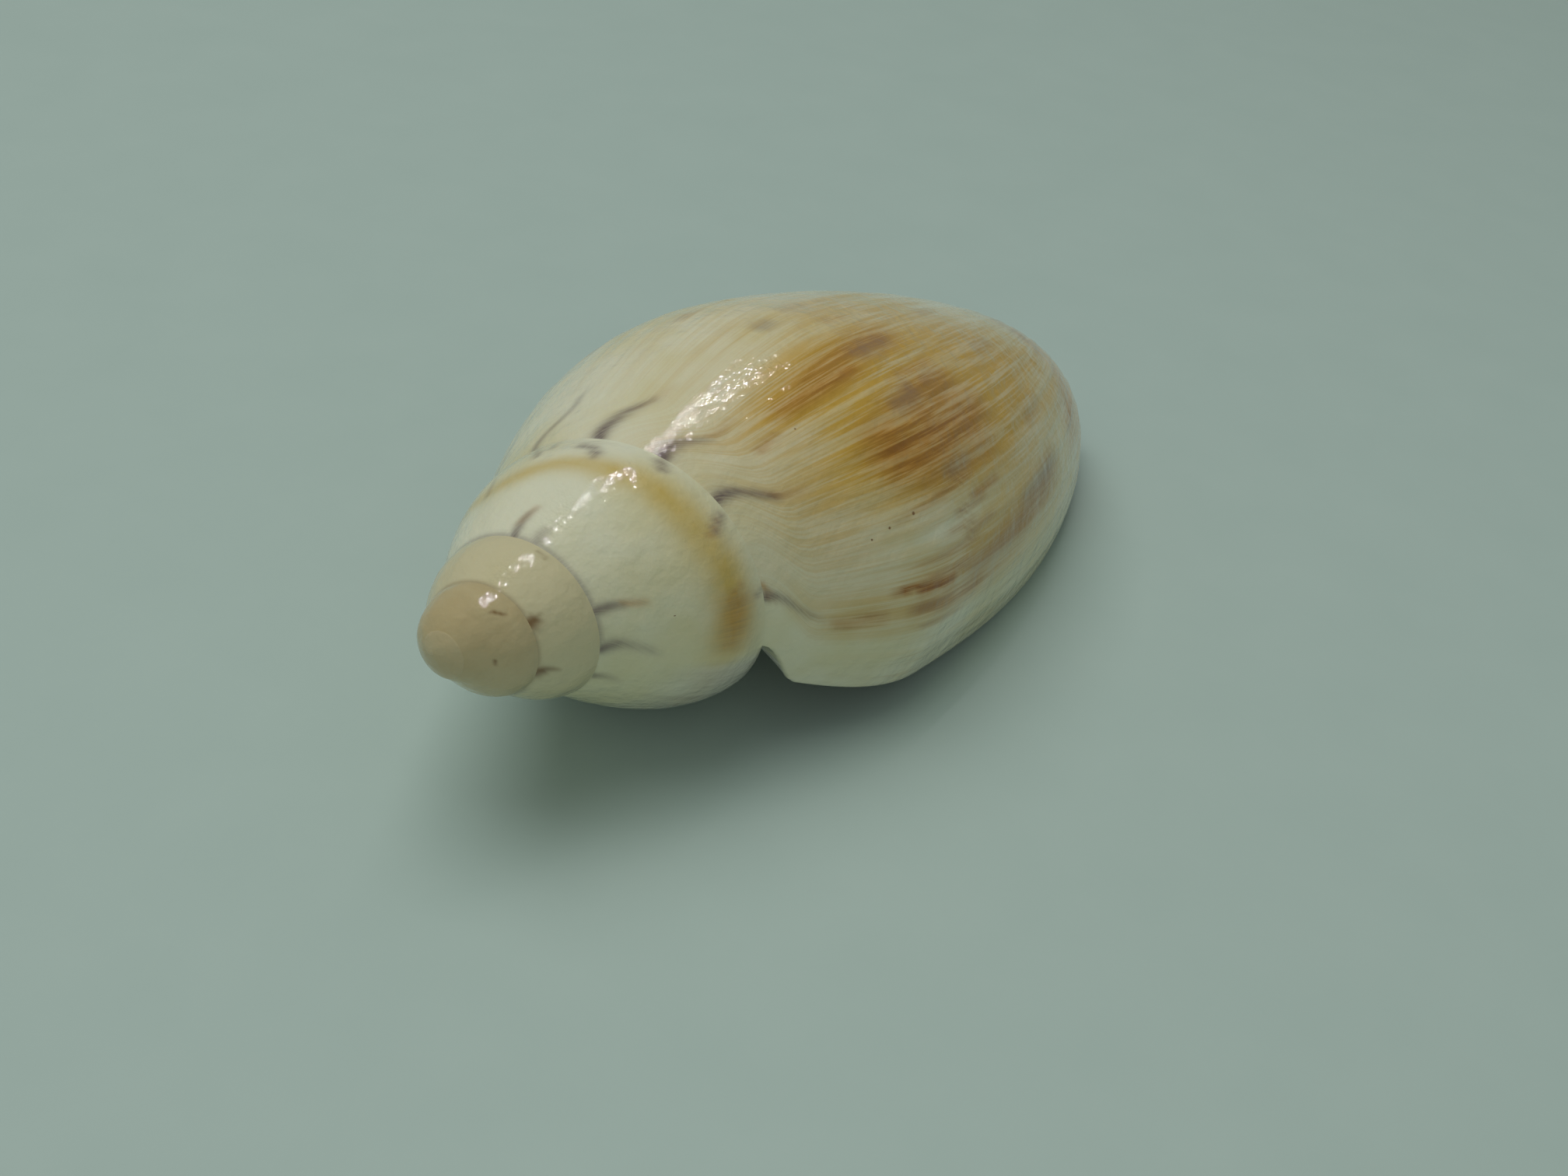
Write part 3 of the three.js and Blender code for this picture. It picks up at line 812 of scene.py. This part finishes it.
class Nodes:
    """Short calls that add shader nodes and link them."""

    def __init__(self, material):
        material.use_nodes = True
        self.tree = material.node_tree
        self.tree.nodes.clear()

    def add(self, kind, inputs=(), **settings):
        node = self.tree.nodes.new(kind)
        for key, value in settings.items():
            setattr(node, key, value)
        for key, value in dict(inputs).items():
            self.put(node.inputs[key], value)
        return node

    def put(self, socket, value):
        if isinstance(value, bpy.types.NodeSocket):
            self.tree.links.new(value, socket)
        else:
            socket.default_value = value

    def math(self, operation, a, b=0.0, clamp=False):
        return self.add("ShaderNodeMath", {0: a, 1: b}, operation=operation, use_clamp=clamp).outputs[0]

    def ramp(self, value, low, high, to_low=0.0, to_high=1.0):
        inputs = {"Value": value, "From Min": low, "From Max": high, "To Min": to_low, "To Max": to_high}
        return self.add("ShaderNodeMapRange", inputs, interpolation_type="SMOOTHSTEP").outputs["Result"]

    def noise(self, vector, scale, detail=3.0, roughness=0.55):
        inputs = {"Vector": vector, "Scale": scale, "Detail": detail, "Roughness": roughness}
        return self.add("ShaderNodeTexNoise", inputs).outputs["Fac"]

    def blend(self, amount, a, b):
        node = self.add("ShaderNodeMix", {0: amount, 6: a, 7: b}, data_type="RGBA")
        return node.outputs[2]

    def bump(self, height, strength, distance, under=None):
        inputs = {"Height": height, "Strength": strength, "Distance": distance}
        if under is not None:
            inputs["Normal"] = under
        return self.add("ShaderNodeBump", inputs).outputs[0]

    def scaled(self, vector, factors):
        inputs = {0: vector, 1: factors}
        return self.add("ShaderNodeVectorMath", inputs, operation="MULTIPLY").outputs[0]

    def parts(self, vector):
        return self.add("ShaderNodeSeparateXYZ", {0: vector}).outputs

    def attribute(self, name):
        return self.add("ShaderNodeAttribute", attribute_name=name).outputs["Vector"]


def shell_material():
    """Glazed enamel with its streaks, patches and marks, all from the stored places and from noise."""
    material = bpy.data.materials.new("glazed_shell")
    n = Nodes(material)
    place = n.attribute("place")
    along, drop, side = n.parts(place)
    brown, violet, ochre = n.parts(n.attribute("stain_and_shade"))
    tan, mauve, glaze = n.parts(n.attribute("wash"))
    spire, dome, rim = n.parts(n.attribute("zone"))
    mouth, deep, _ = n.parts(n.attribute("inner"))
    where = n.add("ShaderNodeTexCoord").outputs["Object"]

    # Growth streaks run along the growth lines: fine across them, long along them, and faint on the spire.
    body = n.math("MULTIPLY", n.ramp(along, 0.80, 1.00, 1.0, 0.0), n.ramp(drop, 2.0, 18.0, 0.05, 1.0))
    fine = n.noise(n.scaled(place, FINE_STREAKS), 1.0, 3.0, 0.6)
    broad = n.noise(n.scaled(place, BROAD_STREAKS), 1.0, 3.0, 0.6)
    cloud = n.noise(where, CLOUD_SCALE, 3.0, 0.55)
    patch = n.noise(where, PATCH_SCALE, 4.0, 0.6)

    streaked = n.math("MULTIPLY", body, n.ramp(broad, 0.46, 0.70, 0.0, 0.40))
    lined_dark = n.math("MULTIPLY", body, n.ramp(fine, 0.56, 0.72, 0.0, 0.34))
    lined_pale = n.math("MULTIPLY", body, n.ramp(fine, 0.48, 0.30, 0.0, 0.25))
    enamel = n.blend(n.ramp(cloud, 0.36, 0.66), TONE["enamel"], TONE["warm_enamel"])
    enamel = n.blend(streaked, enamel, TONE["broad_streak"])
    enamel = n.blend(lined_dark, enamel, TONE["fine_streak"])
    enamel = n.blend(lined_pale, enamel, TONE["white_streak"])

    streak = n.math("ADD", n.ramp(fine, 0.36, 0.64, 0.0, 0.55), n.ramp(broad, 0.36, 0.64, 0.0, 0.55))
    washed = n.math("MULTIPLY", tan, n.ramp(streak, 0.1, 0.9, 0.60, 1.10), clamp=True)
    domed = n.math("MULTIPLY", dome, n.ramp(patch, 0.3, 0.7, 0.7, 0.95))
    banded = n.math("MULTIPLY", ochre, n.ramp(patch, 0.30, 0.66, 0.75, 1.0), clamp=True)
    mauved = n.math("MULTIPLY", mauve, n.ramp(streak, 0.1, 0.9, 0.65, 1.0), clamp=True)
    colour = n.blend(washed, enamel, TONE["tan"])
    colour = n.blend(n.math("MULTIPLY", spire, 0.75), colour, TONE["early_whorl"])
    colour = n.blend(domed, colour, TONE["dome"])
    colour = n.blend(n.ramp(along, 3.3, 4.6, 0.0, 0.32), colour, TONE["tip"])
    colour = n.blend(banded, colour, TONE["ochre"])
    colour = n.blend(mauved, colour, TONE["mauve"])

    grain = n.math("ADD", n.math("MULTIPLY", streak, body), n.ramp(patch, 0.35, 0.65, 0.0, 0.35))
    grained = n.math("ADD", n.ramp(grain, 0.0, 1.0, 0.45, 1.05), n.ramp(along, 0.9, 1.0, 0.0, 0.4))
    # Brown marks, with one line of painted shade in the gap at the lip's upper corner.
    browned = n.math("MULTIPLY", brown, grained, clamp=True)
    hue = n.blend(n.ramp(streak, 0.3, 0.9), TONE["golden_brown"], TONE["dark_brown"])
    hue = n.blend(spire, hue, TONE["spire_brown"])
    colour = n.blend(browned, colour, hue)

    uneven = n.ramp(n.math("ADD", patch, fine), 0.70, 1.18, 0.60, 1.0)
    smudge = n.math("MULTIPLY", violet, uneven, clamp=True)
    near_suture = n.ramp(drop, 6.0, 14.0, 1.0, 0.0)
    violet_tone = n.blend(near_suture, TONE["violet"], TONE["suture_violet"])
    smudged = n.math("MULTIPLY", smudge, n.ramp(near_suture, 0.0, 1.0, 0.62, 0.90))
    colour = n.blend(smudged, colour, violet_tone)
    flat = n.scaled(place, (DOT_WHORL, 1, 0))
    for dot_growth, dot_drop, wide in DOTS:
        centre = (dot_growth * DOT_WHORL, dot_drop, 0)
        apart = n.add("ShaderNodeVectorMath", {0: flat, 1: centre}, operation="DISTANCE").outputs["Value"]
        spot = n.math("MULTIPLY", n.ramp(apart, wide, 0.4 * wide), n.math("SUBTRACT", 1.0, side))
        colour = n.blend(n.math("MULTIPLY", spot, 0.85), colour, TONE["dot"])

    lined = n.blend(n.ramp(broad, 0.40, 0.70), TONE["glaze"], TONE["grey_glaze"])
    colour = n.blend(n.math("MULTIPLY", glaze, 0.75), colour, lined)
    glazed_smudge = n.math("MULTIPLY", n.math("MULTIPLY", smudge, glaze), 0.6)
    colour = n.blend(glazed_smudge, colour, TONE["glaze_violet"])

    lip_white = n.blend(n.ramp(fine, 0.5, 0.8), TONE["lip_white"], TONE["lip_cream"])
    orange = n.blend(n.ramp(broad, 0.36, 0.66), TONE["orange"], TONE["deep_orange"])
    orange = n.blend(deep, orange, TONE["inner_brown"])
    inside = n.blend(mouth, lip_white, orange)
    colour = n.blend(side, colour, inside)
    colour = n.blend(n.math("MULTIPLY", rim, 0.9), colour, TONE["front_tan"])

    rise = n.bump(n.noise(where, *SWELLS[0]), *SWELLS[1])
    rise = n.bump(n.noise(where, *DIMPLES[0]), *DIMPLES[1], under=rise)
    ridges = n.math("MULTIPLY", n.math("ADD", n.math("MULTIPLY", broad, 2.0), fine), body)
    rise = n.bump(ridges, *RIDGE_BUMP, under=rise)
    rise = n.bump(n.noise(where, *PITS[0]), *PITS[1], under=rise)

    surface = n.add(
        "ShaderNodeBsdfPrincipled",
        {
            "Base Color": colour,
            "Roughness": n.ramp(patch, 0.30, 0.70, 0.38, 0.50),
            "Specular IOR Level": 0.12,
            "Normal": rise,
            "Coat Weight": 0.9,
            "Coat Roughness": 0.022,
            "Coat Normal": rise,
            "Subsurface Weight": 0.08,
            "Subsurface Radius": (1.0, 0.65, 0.35),
            "Subsurface Scale": 0.0010,
        },
    )
    n.add("ShaderNodeOutputMaterial", {"Surface": surface.outputs[0]})
    return material


def soften_tip(mesh):
    """Draws the innermost whorls of the dome into one round tip, with only a trace of their suture."""
    co = coordinates(mesh)
    radius = np.hypot(co[:, 0], co[:, 1]) / MM
    near_apex = co[:, 2] > -TIP_DEPTH * MM
    share = TIP_SHARE * (1 - smoothstep(radius, *TIP_FADE)) * near_apex
    co[:, 2] = lerp(co[:, 2], -TIP_CURVE * radius**2 * MM, share)
    mesh.vertices.foreach_set("co", co.ravel())


shell = filled_shell()
cut(shell, hollow())
shell.name = "glazed_shell"
shell.data.name = "glazed_shell"
paint(shell.data, corner_places(shell.data))
soften_tip(shell.data)
lay_down(shell.data)

work = bmesh.new()
work.from_mesh(shell.data)
for face in work.faces:
    face.smooth = True
for edge in work.edges:
    edge.smooth = edge.calc_face_angle(0) < math.radians(SHARP_EDGE)
work.to_mesh(shell.data)
work.free()
shell.data.materials.clear()
shell.data.materials.append(shell_material())
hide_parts("shell")
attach(shell, "root")


# Half the floor's side, in metres.
FLOOR_SIZE = 3
# Lights: name, place, target, size, energy, and whether the light gives gloss alone or soft light alone.
LIGHTS = [
    ("soft_key", (-0.08, 0.22, 0.80), (0, 0, 0.01), (0.65, 0.65), 3.4, False),
    ("strip", (0.065, 0.065, 0.50), (0.065, 0.065, 0), (0.34, 0.0022), 0.75, True),
    ("fill", (-0.65, -0.45, 0.35), (0, 0, 0.01), (0.6, 0.6), 0.5, False),
]
ROOM_STRENGTH = 0.28
# The camera, fitted to the shell's outline, sutures and lip: place in metres, and focal length and width of
# the photo in pixels.
CAMERA_PLACE = (-0.13388, -0.07301, 0.11015)
CAMERA_RIGHT = (0.55274, -0.82381, 0.12577)
CAMERA_DOWN = (-0.43160, -0.41209, -0.80243)
CAMERA_FORWARD = (0.71288, 0.38925, -0.58334)
FOCAL_PIXELS = 2388.9
PHOTO_WIDTH = 2016
SENSOR = 36


def stage_floor():
    """A plain pale floor, far wider than the shell."""
    mesh = bpy.data.meshes.new("floor")
    corners = [(x * FLOOR_SIZE, y * FLOOR_SIZE, 0) for x, y in ((-1, -1), (1, -1), (1, 1), (-1, 1))]
    mesh.from_pydata(corners, [], [(0, 1, 2, 3)])
    floor = bpy.data.objects.new("floor", mesh)
    bpy.context.scene.collection.objects.link(floor)
    material = bpy.data.materials.new("pale_floor")
    n = Nodes(material)
    grain = n.noise(n.add("ShaderNodeTexCoord").outputs["Object"], 90.0, 4.0)
    tone = n.blend(grain, TONE["floor_dark"], TONE["floor_light"])
    surface = n.add("ShaderNodeBsdfPrincipled", {"Base Color": tone, "Roughness": 0.6})
    n.add("ShaderNodeOutputMaterial", {"Surface": surface.outputs[0]})
    mesh.materials.append(material)


def area_light(name, place, target, size, energy, gloss):
    """A rectangular light that faces its target and gives either only gloss or only soft light."""
    data = bpy.data.lights.new(name, "AREA")
    data.shape = "RECTANGLE"
    data.size, data.size_y = size
    data.energy = energy
    lamp = bpy.data.objects.new(name, data)
    aim = (Vector(target) - Vector(place)).to_track_quat("-Z", "Y").to_matrix().to_4x4()
    lamp.matrix_world = Matrix.Translation(place) @ aim
    lamp.visible_glossy = gloss
    lamp.visible_diffuse = not gloss
    lamp.visible_transmission = not gloss
    bpy.context.scene.collection.objects.link(lamp)


def room_light():
    """Soft light from all round."""
    world = bpy.data.worlds.new("world")
    bpy.context.scene.world = world
    world.use_nodes = True
    background = world.node_tree.nodes["Background"]
    background.inputs["Color"].default_value = TONE["room"]
    background.inputs["Strength"].default_value = ROOM_STRENGTH


def photo_camera():
    """The photo's viewpoint."""
    data = bpy.data.cameras.new("camera")
    data.sensor_width = SENSOR
    data.lens = SENSOR * FOCAL_PIXELS / PHOTO_WIDTH
    data.clip_start = 0.005
    camera = bpy.data.objects.new("camera", data)
    down, forward = Vector(CAMERA_DOWN), Vector(CAMERA_FORWARD)
    turn = Matrix((Vector(CAMERA_RIGHT), -down, -forward)).transposed().to_4x4()
    camera.matrix_world = Matrix.Translation(CAMERA_PLACE) @ turn
    bpy.context.scene.collection.objects.link(camera)
    bpy.context.scene.camera = camera


stage_floor()
for light in LIGHTS:
    area_light(*light)
room_light()
bpy.context.scene.view_settings.view_transform = "Standard"
photo_camera()

bpy.context.view_layer.update()
